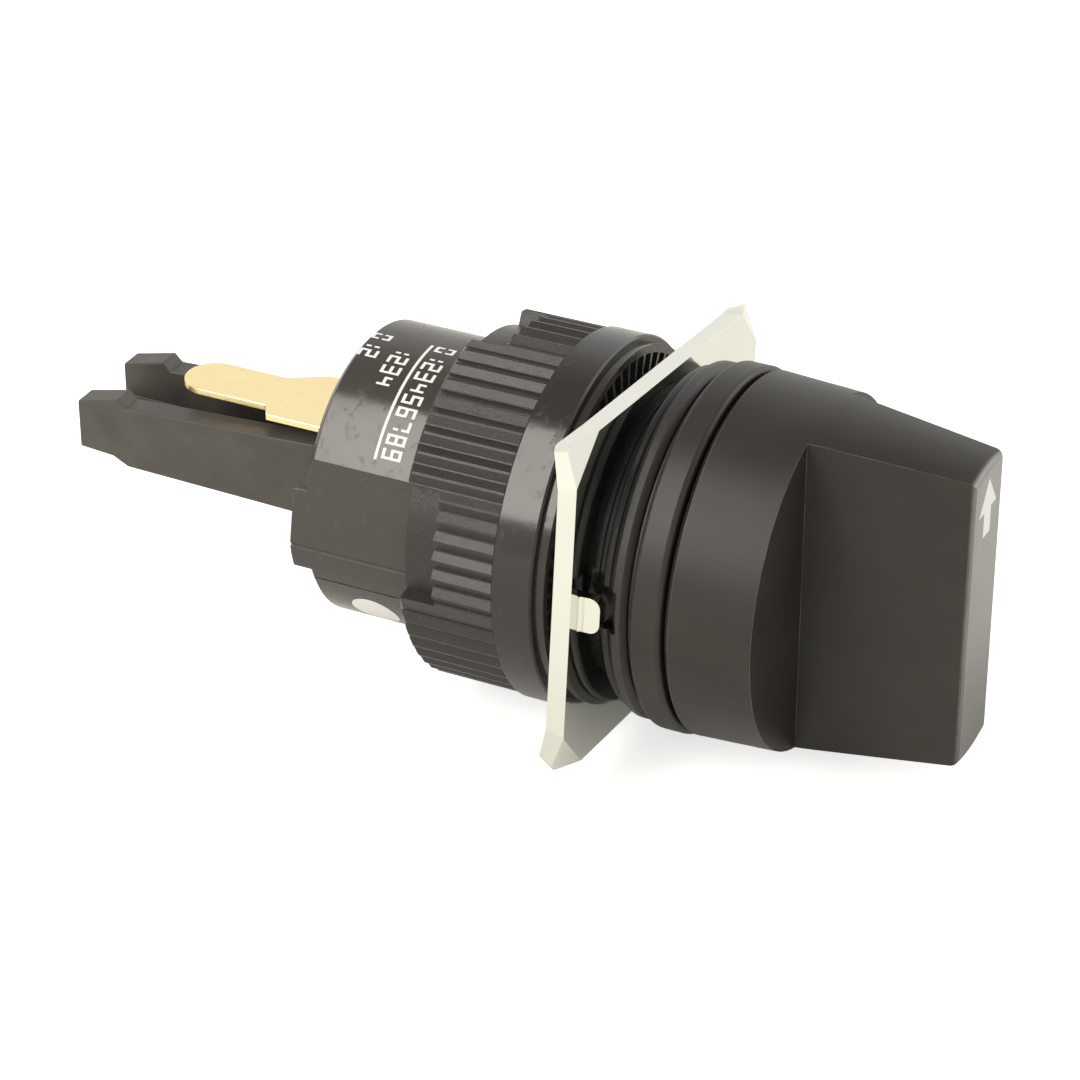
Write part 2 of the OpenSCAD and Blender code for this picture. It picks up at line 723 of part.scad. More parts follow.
module lower_lamp_terminal() {
    mirror([0, 0, 1]) lamp_blade(barrel_l);
}

knob();
pointer_mark();
selector_shaft();
shaft_o_ring();
bezel_ring();
barrel_housing();
panel_gasket();
lock_plate();
ring_nut();
thrust_washer();
detent_ring();
cam_drum();
retaining_clip();
detent_pin_left();
detent_pin_right();
detent_spring();
push_rod_left();
push_rod_right();
rear_insulator();
terminal_carrier();
upper_lamp_terminal();
lower_lamp_terminal();
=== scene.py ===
"""Looks of the selector switch operator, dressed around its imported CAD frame.

Metres throughout. +Y runs along the switch's axis, away from the knob, and +Z is up.
"""

import json
import math

import bmesh
import bpy
import numpy as np
from mathutils import Matrix, Vector
from mathutils.bvhtree import BVHTree


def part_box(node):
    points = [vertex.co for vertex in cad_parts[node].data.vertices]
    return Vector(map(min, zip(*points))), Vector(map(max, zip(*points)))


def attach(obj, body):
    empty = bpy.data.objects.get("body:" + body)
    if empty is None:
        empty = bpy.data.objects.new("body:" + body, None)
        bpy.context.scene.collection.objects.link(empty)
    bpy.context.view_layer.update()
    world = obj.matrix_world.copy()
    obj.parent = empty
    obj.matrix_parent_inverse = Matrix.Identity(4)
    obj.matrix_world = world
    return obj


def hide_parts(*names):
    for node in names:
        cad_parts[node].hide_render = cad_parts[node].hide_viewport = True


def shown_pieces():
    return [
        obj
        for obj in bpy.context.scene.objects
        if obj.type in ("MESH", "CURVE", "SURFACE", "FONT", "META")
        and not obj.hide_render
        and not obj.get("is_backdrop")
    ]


MM = 0.001

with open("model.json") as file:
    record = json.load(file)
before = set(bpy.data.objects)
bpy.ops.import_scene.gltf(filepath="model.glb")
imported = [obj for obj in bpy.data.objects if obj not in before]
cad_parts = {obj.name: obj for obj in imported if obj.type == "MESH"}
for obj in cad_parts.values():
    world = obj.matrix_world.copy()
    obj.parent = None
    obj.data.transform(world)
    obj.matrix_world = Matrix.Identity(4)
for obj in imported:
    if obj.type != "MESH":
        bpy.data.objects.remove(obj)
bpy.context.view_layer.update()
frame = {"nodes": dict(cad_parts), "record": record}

# ---------------------------------------------------------------- camera and image points

IMAGE_W, IMAGE_H = 1080, 1080
SENSOR = 36.0
LENS = 125.4
CAMERA_AZIMUTH = -64.0
CAMERA_ELEVATION = 30.5
CAMERA_DISTANCE = 198.2 * MM
CAMERA_AIM = Vector((0.0, 7.73, -2.21)) * MM

# Where features show in the photograph's frame
POINTS = {
    "left_edge": (76, None),
    "right_edge": (1005, None),
    "top_edge": (None, 304),
    "bottom_edge": (None, 772),
    "lever_top_corner": (1002, 449),
    "lever_foot": (954, 766),
    "plate_foot": (551, 770),
    "nut_crown": (527, 310),
    "prong_foot": (79, 446),
    "blade_tip": (185, 378),
    "plate_tab": (600, 618),
    "pointer": (989, 509),
    "line_top": (430, 345),
    "line_foot": (378, 460),
    "dot": (376, 611),
}


def make_camera():
    """A camera at the photograph's angle, aimed at a point on the switch."""
    azimuth, elevation = math.radians(CAMERA_AZIMUTH), math.radians(CAMERA_ELEVATION)
    back = Vector((math.sin(azimuth) * math.cos(elevation), -math.cos(azimuth) * math.cos(elevation),
                   math.sin(elevation)))
    data = bpy.data.cameras.new("camera")
    data.lens = LENS
    data.sensor_width = SENSOR
    data.sensor_fit = "AUTO"
    data.clip_start = 0.01
    camera = bpy.data.objects.new("camera", data)
    camera.location = CAMERA_AIM + back * CAMERA_DISTANCE
    camera.rotation_mode = "QUATERNION"
    camera.rotation_quaternion = (-back).to_track_quat("-Z", "Y")
    bpy.context.scene.collection.objects.link(camera)
    bpy.context.scene.camera = camera
    bpy.context.view_layer.update()
    return camera


camera = make_camera()


def sight_line(x, y):
    """The camera's place and the direction of the ray through an image point."""
    long_side = max(IMAGE_W, IMAGE_H)
    across = x - IMAGE_W / 2 + camera.data.shift_x * long_side
    up = IMAGE_H / 2 - y + camera.data.shift_y * long_side
    ray = Vector((across, up, -long_side * camera.data.lens / camera.data.sensor_width))
    turn = camera.matrix_world.to_3x3()
    return camera.matrix_world.translation.copy(), (turn @ ray).normalized()


def finished(piece):
    """Vertices and triangles of a piece with its modifiers applied."""
    view = piece.evaluated_get(bpy.context.evaluated_depsgraph_get())
    mesh = view.to_mesh()
    mesh.calc_loop_triangles()
    places = np.empty(len(mesh.vertices) * 3)
    mesh.vertices.foreach_get("co", places)
    corners = np.empty(len(mesh.loop_triangles) * 3, int)
    mesh.loop_triangles.foreach_get("vertices", corners)
    view.to_mesh_clear()
    return places.reshape(-1, 3), corners.reshape(-1, 3)


def on_surface(point, base):
    """Where the sight line through an image point meets a piece, or the piece's place nearest that line."""
    start, ray = sight_line(*POINTS[point])
    places, corners = finished(base)
    tree = BVHTree.FromPolygons(places.tolist(), corners.tolist())
    hit = tree.ray_cast(start, ray)[0]
    if hit is not None:
        return hit
    offsets = places - np.array(start)
    along = offsets @ np.array(ray)
    miss = np.linalg.norm(offsets - along[:, None] * np.array(ray), axis=1)
    return Vector(places[miss.argmin()])


# ---------------------------------------------------------------- finishes

# Where the finish changes along the axis
LEVER_FRONT = -16.6 * MM
COLLAR_BACK = -0.1 * MM
RIBS_FRONT = 5.7 * MM
RIBS_BACK = 11.1 * MM


class Value:
    """A number that changes over a surface: a shader socket with Python's operators."""

    def __init__(self, finish, socket):
        self.finish = finish
        self.socket = socket

    def maths(self, operation, *numbers):
        """The result of a Math node on these numbers."""
        return self.finish.add("ShaderNodeMath", {"operation": operation}, dict(enumerate(numbers)))

    def __add__(self, other):
        return self.maths("ADD", self, other)

    def __sub__(self, other):
        return self.maths("SUBTRACT", self, other)

    def __rsub__(self, other):
        return self.maths("SUBTRACT", other, self)

    def __mul__(self, other):
        return self.maths("MULTIPLY", self, other)

    __radd__ = __add__
    __rmul__ = __mul__

    def between(self, low, high):
        """0 below low, 1 above high, and an even ramp between."""
        return self.finish.add("ShaderNodeMapRange", {"clamp": True}, {0: self, 1: low, 2: high})

    def over(self, other):
        """The greater of the two."""
        return self.maths("MAXIMUM", self, other)


class Finish:
    """One material: a Principled shader and the nodes that feed it."""

    def __init__(self, name, constants):
        self.material = bpy.data.materials.new(name)
        self.material.use_nodes = True
        self.tree = self.material.node_tree
        self.shader = self.tree.nodes["Principled BSDF"]
        for socket, value in constants.items():
            self.shader.inputs[socket].default_value = value
        self.place = self.add("ShaderNodeTexCoord", out="Object")

    def add(self, kind, settings=None, inputs=None, out=0):
        """A node of any kind: its settings first, then the values or links of its sockets."""
        node = self.tree.nodes.new(kind)
        for setting, value in (settings or {}).items():
            setattr(node, setting, value)
        for socket, value in (inputs or {}).items():
            if isinstance(value, Value):
                self.tree.links.new(value.socket, node.inputs[socket])
            else:
                node.inputs[socket].default_value = value
        return Value(self, node.outputs[out])

    def feed(self, socket, value):
        """Link a value to one of the shader's sockets."""
        self.tree.links.new(value.socket, self.shader.inputs[socket])

    def along(self, axis):
        """The Object coordinate along x, y or z, in metres."""
        return self.add("ShaderNodeSeparateXYZ", inputs={0: self.place}, out="XYZ".index(axis))

    def beyond(self, level, blur=0.1 * MM):
        """0 in front of a level along the axis and 1 behind it, with a ramp that reaches blur either side."""
        return self.along("Y").between(level - blur, level + blur)

    def noise(self, size, detail=3.0, roughness=0.55, stretch=None):
        """Noise from 0 to 1 whose features are about size metres across."""
        place = self.place
        if stretch:
            place = self.add("ShaderNodeMapping", inputs={"Vector": place, "Scale": stretch})
        sockets = {"Vector": place, "Scale": 1 / size, "Detail": detail, "Roughness": roughness}
        return self.add("ShaderNodeTexNoise", inputs=sockets)

    def mix(self, factor, first, second):
        """A colour between first and second."""
        return self.add("ShaderNodeMix", {"data_type": "RGBA"}, {0: factor, 6: first, 7: second}, out=2)

    def bump(self, height, distance, strength=1.0, under=None):
        """A normal tipped by a height that stands distance metres tall."""
        inputs = {"Height": height, "Distance": distance, "Strength": strength}
        if under:
            inputs["Normal"] = under
        return self.add("ShaderNodeBump", inputs=inputs, out="Normal")


def colour(red, green, blue):
    """An opaque colour."""
    return (red, green, blue, 1.0)


def matte_black():
    """Knob and bezel: warm black plastic, finely grained and rubbed; the lever's front face is polished."""
    finish = Finish("matte_black", {"Specular IOR Level": 0.42, "Coat IOR": 2.4, "Coat Roughness": 0.28,
                                    "Coat Tint": colour(1.0, 0.98, 0.93)})
    cloud = finish.noise(5 * MM, 4)
    rub = finish.noise(1.2 * MM, 5, stretch=(1.0, 0.25, 1.0)).between(0.62, 0.8)
    finish.feed("Base Color", finish.mix(cloud.between(0.3, 0.7) * 0.8 + rub * 0.25,
                                         colour(0.017, 0.0144, 0.0112), colour(0.0272, 0.0232, 0.0184)))
    finish.feed("Roughness", 0.38 + cloud * 0.08 - rub * 0.05)
    front = 1.0 - finish.beyond(LEVER_FRONT)
    finish.feed("Coat Weight", front * (0.5 + finish.along("Z").between(-9 * MM, -1 * MM) * 0.5))
    grain = finish.noise(0.09 * MM, 2)
    finish.feed("Normal", finish.bump(grain, 0.004 * MM, 0.55))
    return finish.material


def edge_highlight_black():
    """The knob's rounded edges: the same plastic, a little glossier, with a painted highlight: a paler base
    colour in broken lengths along the edges.
    """
    finish = Finish("edge_highlight_black", {"Specular IOR Level": 0.6})
    wear_and_highlight = finish.noise(1.6 * MM, 4).between(0.36, 0.6)
    # Painted highlight: the base colour turns paler along the rounded edges wherever the noise rises.
    finish.feed("Base Color", finish.mix(wear_and_highlight, colour(0.034, 0.03, 0.024), colour(0.125, 0.114, 0.097)))
    finish.feed("Roughness", 0.36 - wear_and_highlight * 0.1)
    finish.feed("Normal", finish.bump(finish.noise(0.09 * MM, 2), 0.004 * MM, 0.4))
    return finish.material


def gloss_black():
    """Housing and ring nut: smooth black moulding with flow marks and scuffs, duller at collar and ribs."""
    finish = Finish("gloss_black", {"Specular IOR Level": 0.45})
    flow = finish.noise(3 * MM, 4, stretch=(1.0, 0.35, 1.0))
    scuff = finish.noise(0.7 * MM, 6, 0.7).between(0.58, 0.75)
    collar = 1.0 - finish.beyond(COLLAR_BACK, 0.2 * MM)
    barrel = finish.beyond(RIBS_BACK)
    ribs = finish.beyond(RIBS_FRONT) - barrel
    dull = ribs.over(collar)
    front_black = finish.mix(scuff * 0.5, colour(0.027, 0.0243, 0.0208), colour(0.052, 0.047, 0.041))
    barrel_black = finish.mix(scuff, colour(0.05, 0.046, 0.04), colour(0.074, 0.068, 0.059))
    finish.feed("Base Color", finish.mix(barrel, front_black, barrel_black))
    finish.feed("Roughness", 0.13 + flow * 0.07 + scuff * 0.12 + collar * 0.2 + ribs * 0.07)
    grain = finish.noise(0.13 * MM, 4, 0.7)
    finish.feed("Normal", finish.bump(flow * 0.8 + scuff * 0.2, 0.04 * MM, 0.7,
                                      finish.bump(grain * dull, 0.03 * MM, 0.8)))
    return finish.material


def satin_black():
    """Terminal carrier: black moulding with a soft sheen and drag lines along the tool's draw."""
    finish = Finish("satin_black", {"Specular IOR Level": 0.5})
    drag = finish.noise(0.5 * MM, 4, stretch=(1.0, 0.12, 1.0))
    cloud = finish.noise(2.5 * MM, 4)
    finish.feed("Base Color", finish.mix(cloud.between(0.3, 0.75), colour(0.043, 0.039, 0.033),
                                         colour(0.073, 0.0665, 0.057)))
    finish.feed("Roughness", 0.36 + drag * 0.16)
    finish.feed("Normal", finish.bump(drag, 0.012 * MM, 0.5))
    return finish.material


def gasket_rubber():
    """Black rubber: soft gloss, a few specks of bloom."""
    finish = Finish("gasket_rubber", {"Specular IOR Level": 0.45})
    bloom = finish.noise(0.5 * MM, 4).between(0.6, 0.8)
    finish.feed("Base Color", finish.mix(bloom * 0.5, colour(0.012, 0.012, 0.011),
                                         colour(0.03, 0.029, 0.027)))
    finish.feed("Roughness", 0.34 + bloom * 0.2)
    finish.feed("Normal", finish.bump(finish.noise(0.3 * MM, 3), 0.006 * MM, 0.5))
    return finish.material


def bright_sheet():
    """Lock plate: bright plated steel, almost a mirror, with rolling lines and fine scratches."""
    finish = Finish("bright_sheet", {"Metallic": 1.0})
    wave = finish.noise(6 * MM, 3)
    scratch = finish.noise(0.35 * MM, 5, 0.65, stretch=(1.0, 1.0, 0.08)).between(0.62, 0.78)
    finish.feed("Base Color", finish.mix(wave, colour(0.76, 0.765, 0.7), colour(0.83, 0.83, 0.755)))
    finish.feed("Roughness", 0.05 + wave * 0.06 + scratch * 0.14)
    finish.feed("Normal", finish.bump(wave + scratch * 0.05, 0.05 * MM, 0.35))
    return finish.material


def gold_plate():
    """Lamp terminals: pale gold plating over rolled brass, slightly dimpled and worn."""
    finish = Finish("gold_plate", {"Metallic": 1.0})
    dimple = finish.noise(1.1 * MM, 4)
    wear_and_highlight = finish.noise(0.4 * MM, 5, 0.7).between(0.6, 0.78)
    finish.feed("Base Color", finish.mix(wear_and_highlight, colour(1.0, 0.83, 0.46), colour(0.93, 0.69, 0.35)))
    finish.feed("Roughness", 0.2 + dimple * 0.12 + wear_and_highlight * 0.12)
    finish.feed("Normal", finish.bump(dimple, 0.03 * MM, 0.5))
    return finish.material


def white_ink():
    """Printed marks: white ink with slightly starved patches."""
    finish = Finish("white_ink", {"Specular IOR Level": 0.3})
    starve = finish.noise(0.12 * MM, 3).between(0.6, 0.85)
    finish.feed("Base Color", finish.mix(starve * 0.6, colour(0.80, 0.80, 0.77), colour(0.42, 0.41, 0.39)))
    finish.feed("Roughness", 0.5 + starve * 0.15)
    return finish.material


def natural_acetal():
    """Inner turned and moulded pieces: milky plastic with faint turning lines."""
    finish = Finish("natural_acetal", {"Specular IOR Level": 0.5})
    line = finish.noise(0.4 * MM, 3, stretch=(0.2, 1.0, 0.2))
    finish.feed("Base Color", finish.mix(line, colour(0.72, 0.70, 0.63), colour(0.8, 0.78, 0.71)))
    finish.feed("Roughness", 0.35 + line * 0.12)
    return finish.material


def spring_steel():
    """Pins, clip and coil: drawn steel wire and ground pins."""
    finish = Finish("spring_steel", {"Metallic": 1.0})
    drawn = finish.noise(0.2 * MM, 4, stretch=(0.3, 1.0, 1.0))
    finish.feed("Base Color", finish.mix(drawn, colour(0.5, 0.5, 0.51), colour(0.66, 0.66, 0.67)))
    finish.feed("Roughness", 0.22 + drawn * 0.15)
    return finish.material


FINISHES = {
    "knob_plastic": matte_black(),
    "mark_white": white_ink(),
    "shaft_plastic": natural_acetal(),
    "seal_rubber": gasket_rubber(),
    "housing_plastic": gloss_black(),
    "plate_metal": bright_sheet(),
    "spring_steel": spring_steel(),
    "carrier_plastic": satin_black(),
    "terminal_gold": gold_plate(),
}
SLOT_OF = {part["node"]: part["material_slot"] for part in frame["record"]["subparts"]}
BODY_OF = {node: body for body, nodes in frame["record"]["behaviour"]["bodies"].items() for node in nodes}


def dress(piece, slot):
    """Give a piece the finish of a slot, and no other."""
    piece.data.materials.clear()
    piece.data.materials.append(FINISHES[slot])


for node, cad in frame["nodes"].items():
    for index in range(max(1, len(cad.data.materials))):
        if len(cad.data.materials) <= index:
            cad.data.materials.append(FINISHES[SLOT_OF[node]])
        else:
            cad.data.materials[index] = FINISHES[SLOT_OF[node]]

# ---------------------------------------------------------------- pieces


def new_piece(name, body, slot, places, faces):
    """A smooth-shaded object at the origin from vertices and faces, riding on a body."""
    mesh = bpy.data.meshes.new(name)
    mesh.from_pydata(np.asarray(places).tolist(), [], [list(map(int, face)) for face in faces])
    mesh.update()
    mesh.shade_smooth()
    piece = bpy.data.objects.new(name, mesh)
    bpy.context.scene.collection.objects.link(piece)
    dress(piece, slot)
    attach(piece, body)
    return piece


def grid_faces(rows, columns, wrap=False):
    """Quads of a grid of rows by columns, closed along its columns when wrap is set."""
    down, across = np.meshgrid(np.arange(rows - 1), np.arange(columns - (not wrap)), indexing="ij")
    first = down * columns + across
    beside = down * columns + (across + 1) % columns
    return np.stack([first, beside, beside + columns, first + columns], -1).reshape(-1, 4)


# Rounding of the CAD copies: how near vertices merge, the turn in degrees below which faces join, the turn
# in degrees above which an edge is rounded, and the length from which a crease can be kept crisp
MERGE, FLAT_TURN, EDGE_TURN, LONG_EDGE = 0.0005 * MM, 0.4, 28, 2 * MM


def ease(piece, radius, segments, angle):
    """Round the edges of a piece that turn by more than angle degrees."""
    bevel = piece.modifiers.new("rounding", "BEVEL")
    bevel.width = radius
    bevel.segments = segments
    bevel.limit_method = "ANGLE"
    bevel.angle_limit = math.radians(angle)
    bevel.use_clamp_overlap = True
    bevel.harden_normals = True


def rounded(node, name, radius, segments=2, crease=180):
    """A copy of a CAD node, merged, with its edges rounded and its long creases past an angle kept crisp."""
    piece = bpy.data.objects.new(name, frame["nodes"][node].data.copy())
    bpy.context.scene.collection.objects.link(piece)
    shape = bmesh.new()
    shape.from_mesh(piece.data)
    bmesh.ops.remove_doubles(shape, verts=shape.verts, dist=MERGE)
    bmesh.ops.dissolve_limit(shape, angle_limit=math.radians(FLAT_TURN), verts=shape.verts, edges=shape.edges)
    crisp = [edge.index for edge in shape.edges if edge.is_manifold and edge.calc_length() > LONG_EDGE
             and edge.calc_face_angle() > math.radians(crease)]
    shape.to_mesh(piece.data)
    shape.free()
    if piece.data.has_custom_normals:
        with bpy.context.temp_override(object=piece, active_object=piece, selected_objects=[piece]):
            bpy.ops.mesh.customdata_custom_splitnormals_clear()
    piece.data.shade_smooth()
    for index in crisp:
        piece.data.edges[index].use_edge_sharp = True
    ease(piece, radius, segments, EDGE_TURN)
    dress(piece, SLOT_OF[node])
    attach(piece, BODY_OF[node])
    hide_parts(node)
    return piece


knob = rounded("knob", "knob_moulding", 0.16 * MM, 3)
# The rounded edges take the finish with the painted edge highlight.
knob.data.materials.append(edge_highlight_black())
knob.modifiers["rounding"].material = 1
rounded("bezel_ring", "bezel_moulding", 0.1 * MM, 3)
housing = rounded("barrel_housing", "housing_moulding", 0.07 * MM, crease=12)
rounded("panel_gasket", "gasket_moulding", 0.06 * MM)
rounded("terminal_carrier", "carrier_moulding", 0.07 * MM)
rounded("upper_lamp_terminal", "upper_blade_stamping", 0.07 * MM)
rounded("lower_lamp_terminal", "lower_blade_stamping", 0.07 * MM)
rounded("ring_nut", "nut_moulding", 0.06 * MM)

# The lock plate, in mm: across, high, thick, then the bent corners, the hole and the tab
PLATE_W, PLATE_H, PLATE_T, PLATE_FRONT = 22.4, 18.3, 1.0, 0.65
PLATE_TURN, CORNER, CORNER_BEND, TIP_R = math.radians(5.8), 2.3, math.radians(28), 0.5
HOLE_R, TAB_X, TAB_T, TAB_HALF, TAB_REACH, TAB_DROP, TAB_R = 8.0, 9.5, 0.7, 0.95, 1.15, 0.25, 0.55
TAB_FLARE = 0.2
# Steps along each edge and each fold of the plate, and points round a corner's tip
EDGE_STEPS, FOLD_STEPS, TIP_POINTS = 18, 6, 6


def side_steps(side):
    """Steps along side 0 to 7 of the plate's rim: the odd ones are folds."""
    return FOLD_STEPS if side % 2 else EDGE_STEPS


def plate_ring(corner, y):
    """The rim of the plate's flat part, side by side: a rectangle whose corners are cut by corner."""
    half_w, half_h = PLATE_W / 2, PLATE_H / 2
    ends = [(half_w, corner - half_h), (half_w, half_h - corner), (half_w - corner, half_h),
            (corner - half_w, half_h), (-half_w, half_h - corner), (-half_w, corner - half_h),
            (corner - half_w, -half_h), (half_w - corner, -half_h)]
    rim = []
    for side in range(8):
        (x0, z0), (x1, z1) = ends[side], ends[(side + 1) % 8]
        steps = side_steps(side)
        rim += [(x0 + (x1 - x0) * i / steps, y, z0 + (z1 - z0) * i / steps) for i in range(steps)]
    return np.array(rim)


def corner_tip(side, depth):
    """The round end of the corner leaf beyond fold side 1, 3, 5 or 7, depth behind the leaf's front."""
    fold, bend = CORNER / math.sqrt(2), CORNER_BEND
    turn = np.linspace(math.pi / 4, -math.pi / 4, TIP_POINTS)
    out = fold - TIP_R * math.sqrt(2) + TIP_R * np.cos(turn)
    along = TIP_R * np.sin(turn)
    away = out * math.cos(bend) - depth * math.sin(bend)
    back = out * math.sin(bend) + depth * math.cos(bend)
    x_way, z_way = ((1, 1), (-1, 1), (-1, -1), (1, -1))[side // 2]
    way = np.array([x_way, 0, z_way]) / math.sqrt(2)
    beside = np.array([z_way, 0, -x_way]) / math.sqrt(2)
    middle = np.array([x_way * (PLATE_W - CORNER) / 2, PLATE_FRONT, z_way * (PLATE_H - CORNER) / 2])
    return middle + away[:, None] * way + along[:, None] * beside + back[:, None] * np.array([0, 1, 0])


def tab_rings():
    """The tab as rings along y: its half width follows a quarter circle at the tip, and its root flares."""
    turn, flare = np.radians(np.arange(0, 91, 9)), np.radians(np.arange(0, 91, 18))
    tip = PLATE_FRONT - TAB_REACH
    y = np.concatenate([tip + TAB_R * (1 - np.cos(turn)), PLATE_FRONT - TAB_FLARE * (1 - np.sin(flare)),
                        [PLATE_FRONT + PLATE_T / 2]])
    half = np.concatenate([TAB_HALF - TAB_R * (1 - np.sin(turn)), np.full(len(flare) + 1, TAB_HALF)])
    out = np.concatenate([0 * turn, TAB_FLARE * (1 - np.cos(flare)), [TAB_FLARE]])
    rings = np.array([[(-TAB_X, level, wide), (-TAB_X - TAB_T - more, level, wide),
                       (-TAB_X - TAB_T - more, level, -wide), (-TAB_X, level, -wide)]
                      for level, wide, more in zip(y, half, out)]).reshape(-1, 3) - (0, 0, TAB_DROP)
    last = 4 * (len(y) - 1)
    ends = [[0, 1, 2, 3], [last + 3, last + 2, last + 1, last]]
    return rings, grid_faces(len(y), 4, wrap=True).tolist() + ends


def lock_plate_mesh():
    """Front and rear of a holed sheet, four mitred corner leaves bent back, and a round-cornered tab."""
    mitre = PLATE_T * math.tan(CORNER_BEND / 2) * math.sqrt(2)
    front, rear = plate_ring(CORNER, PLATE_FRONT), plate_ring(CORNER + mitre, PLATE_FRONT + PLATE_T)
    angle = np.arctan2(front[:, 2], front[:, 0])
    hole = np.stack([HOLE_R * np.cos(angle), 0 * angle, HOLE_R * np.sin(angle)], -1)
    count = len(front)
    places = [hole + (0, PLATE_FRONT, 0), front, rear, hole + (0, PLATE_FRONT + PLATE_T, 0)]
    quads = grid_faces(4, count, wrap=True)
    total, faces, at = 4 * count, [], 0
    for side in range(8):
        steps = side_steps(side)
        here = list(range(at, at + steps))
        faces += [quads[step].tolist() for step in here]
        faces += [quads[2 * count + step].tolist() for step in here]
        if side % 2 == 0:
            faces += [quads[count + step].tolist() for step in here]
        else:
            ring = [step % count for step in range(at, at + steps + 1)]
            near, far = [count + step for step in ring], [2 * count + step for step in ring]
            tips = [corner_tip(side, 0), corner_tip(side, PLATE_T)]
            places += tips
            near_tip = list(range(total, total + TIP_POINTS))
            far_tip = list(range(total + TIP_POINTS, total + 2 * TIP_POINTS))
            if np.dot(tips[0][0] - tips[0][-1], front[ring[-1]] - front[ring[0]]) < 0:
                near_tip.reverse()
                far_tip.reverse()
            faces += [near + near_tip, (far + far_tip)[::-1]]
            near_rim, far_rim = [near[-1]] + near_tip + [near[0]], [far[-1]] + far_tip + [far[0]]
            faces += [[near_rim[i + 1], near_rim[i], far_rim[i], far_rim[i + 1]]
                      for i in range(TIP_POINTS + 1)]
            total += 2 * TIP_POINTS
        at += steps
    faces += [[3 * count + (i + 1) % count, 3 * count + i, i, (i + 1) % count] for i in range(count)]
    tab, tab_faces = tab_rings()
    places.append(tab)
    faces += [[total + corner for corner in face] for face in tab_faces]
    places = np.concatenate(places) * MM
    x, y, z = places.T
    cos, sin = math.cos(PLATE_TURN), math.sin(PLATE_TURN)
    return np.stack([x * cos + z * sin, y, z * cos - x * sin], -1), faces


def outward(piece):
    """Turn every face of a closed piece outwards."""
    shape = bmesh.new()
    shape.from_mesh(piece.data)
    bmesh.ops.recalc_face_normals(shape, faces=shape.faces)
    shape.to_mesh(piece.data)
    shape.free()


plate = new_piece("plate_pressing", "plate", "plate_metal", *lock_plate_mesh())
outward(plate)
ease(plate, 0.11 * MM, 3, 12)
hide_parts("lock_plate")

# ---------------------------------------------------------------- printed marks

BARREL_WALL = 1.1 * MM
BARREL_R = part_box("rear_insulator")[1].x + BARREL_WALL
INK = 0.012 * MM
STEPS_PER_RADIAN = 24
LINE_HALF = 0.08 * MM
# The spot's radius, the share of it where its first ring lies, and its rings and the points on each
DOT_R, DOT_HUB, DOT_RINGS, DOT_SPOKES = 1.35 * MM, 0.02, 6, 40
# Rows of numerals: degrees below the line's top end, mm behind the line, and the numbers in the row
ROWS = ((0, -0.3, range(10)), (6, 1.65, (1, 2, 3, 4)), (0, 3.4, (0, 1, 2)))


def around(hit):
    """Angle about the axis, from the left side upwards, of a place on the barrel."""
    return math.atan2(hit.z, -hit.x)


def steps_round(span):
    """Points along an arc of this angle, its ends among them."""
    return 2 + int(span * STEPS_PER_RADIAN)


def barrel_patch(low, high, y0, y1):
    """Ink on the barrel: angle runs from low to high and y from y0 to y1, just above the barrel's radius."""
    angle, y = np.meshgrid(np.linspace(low, high, steps_round(high - low)), [y0, y1], indexing="ij")
    r = BARREL_R + INK
    return np.stack([-r * np.cos(angle), y, r * np.sin(angle)], -1).reshape(-1, 3), angle.shape


def join(patches):
    """Vertices and faces of several grids in one mesh."""
    places, faces, count = [], [], 0
    for grid, shape in patches:
        places.append(grid)
        faces.append(grid_faces(*shape) + count)
        count += len(grid)
    return np.concatenate(places), np.concatenate(faces)


# The bars of a plain numeral in its box, 1 wide and 1 high: across from, to, up from, to
BAR, STEM = 0.16, 0.24
BARS = {
    "top": (0, 1, 1 - BAR, 1), "waist": (0, 1, 0.5 - BAR / 2, 0.5 + BAR / 2), "base": (0, 1, 0, BAR),
    "upper_left": (0, STEM, 0.5 + BAR / 2, 1 - BAR), "upper_right": (1 - STEM, 1, 0.5 + BAR / 2, 1 - BAR),
    "lower_left": (0, STEM, BAR, 0.5 - BAR / 2), "lower_right": (1 - STEM, 1, BAR, 0.5 - BAR / 2),
}
NUMERALS = (
    ("top", "base", "upper_left", "upper_right", "lower_left", "lower_right"),
    ("upper_right", "lower_right"),
    ("top", "upper_right", "waist", "lower_left", "base"),
    ("top", "upper_right", "waist", "lower_right", "base"),
    ("upper_left", "waist", "upper_right", "lower_right"),
    ("top", "upper_left", "waist", "lower_right", "base"),
    ("top", "upper_left", "waist", "lower_left", "lower_right", "base"),
    ("top", "upper_right", "lower_right"),
    ("top", "base", "waist", "upper_left", "upper_right", "lower_left", "lower_right"),
    ("top", "base", "waist", "upper_left", "upper_right", "lower_right"),
)


def numeral_row(start, base_y, numbers):
    """Plain numerals that run round the barrel downwards from the angle start, tops towards the knob."""
    width, height, pitch = 0.56 * MM, 1.12 * MM, 0.78 * MM
    patches = []
    for place, number in enumerate(numbers):
        for bar in NUMERALS[number]:
            left, right, low, high = BARS[bar]
            first = start - (place * pitch + left * width) / BARREL_R
            last = start - (place * pitch + right * width) / BARREL_R
            patches.append(barrel_patch(last, first, base_y - high * height, base_y - low * height))
    return patches


def print_scale():
    """A plain line round the barrel with rows of plain numerals on both sides of it."""
    top, foot = on_surface("line_top", housing), on_surface("line_foot", housing)
    line_y = (top.y + foot.y) / 2
    start = around(top)
    patches = [barrel_patch(around(foot), start, line_y - LINE_HALF, line_y + LINE_HALF)]
    for turn, behind, numbers in ROWS:
        patches += numeral_row(start - math.radians(turn), line_y + behind * MM, numbers)
    places, faces = join(patches)
    return new_piece("print_scale", "operator", "mark_white", places, faces)


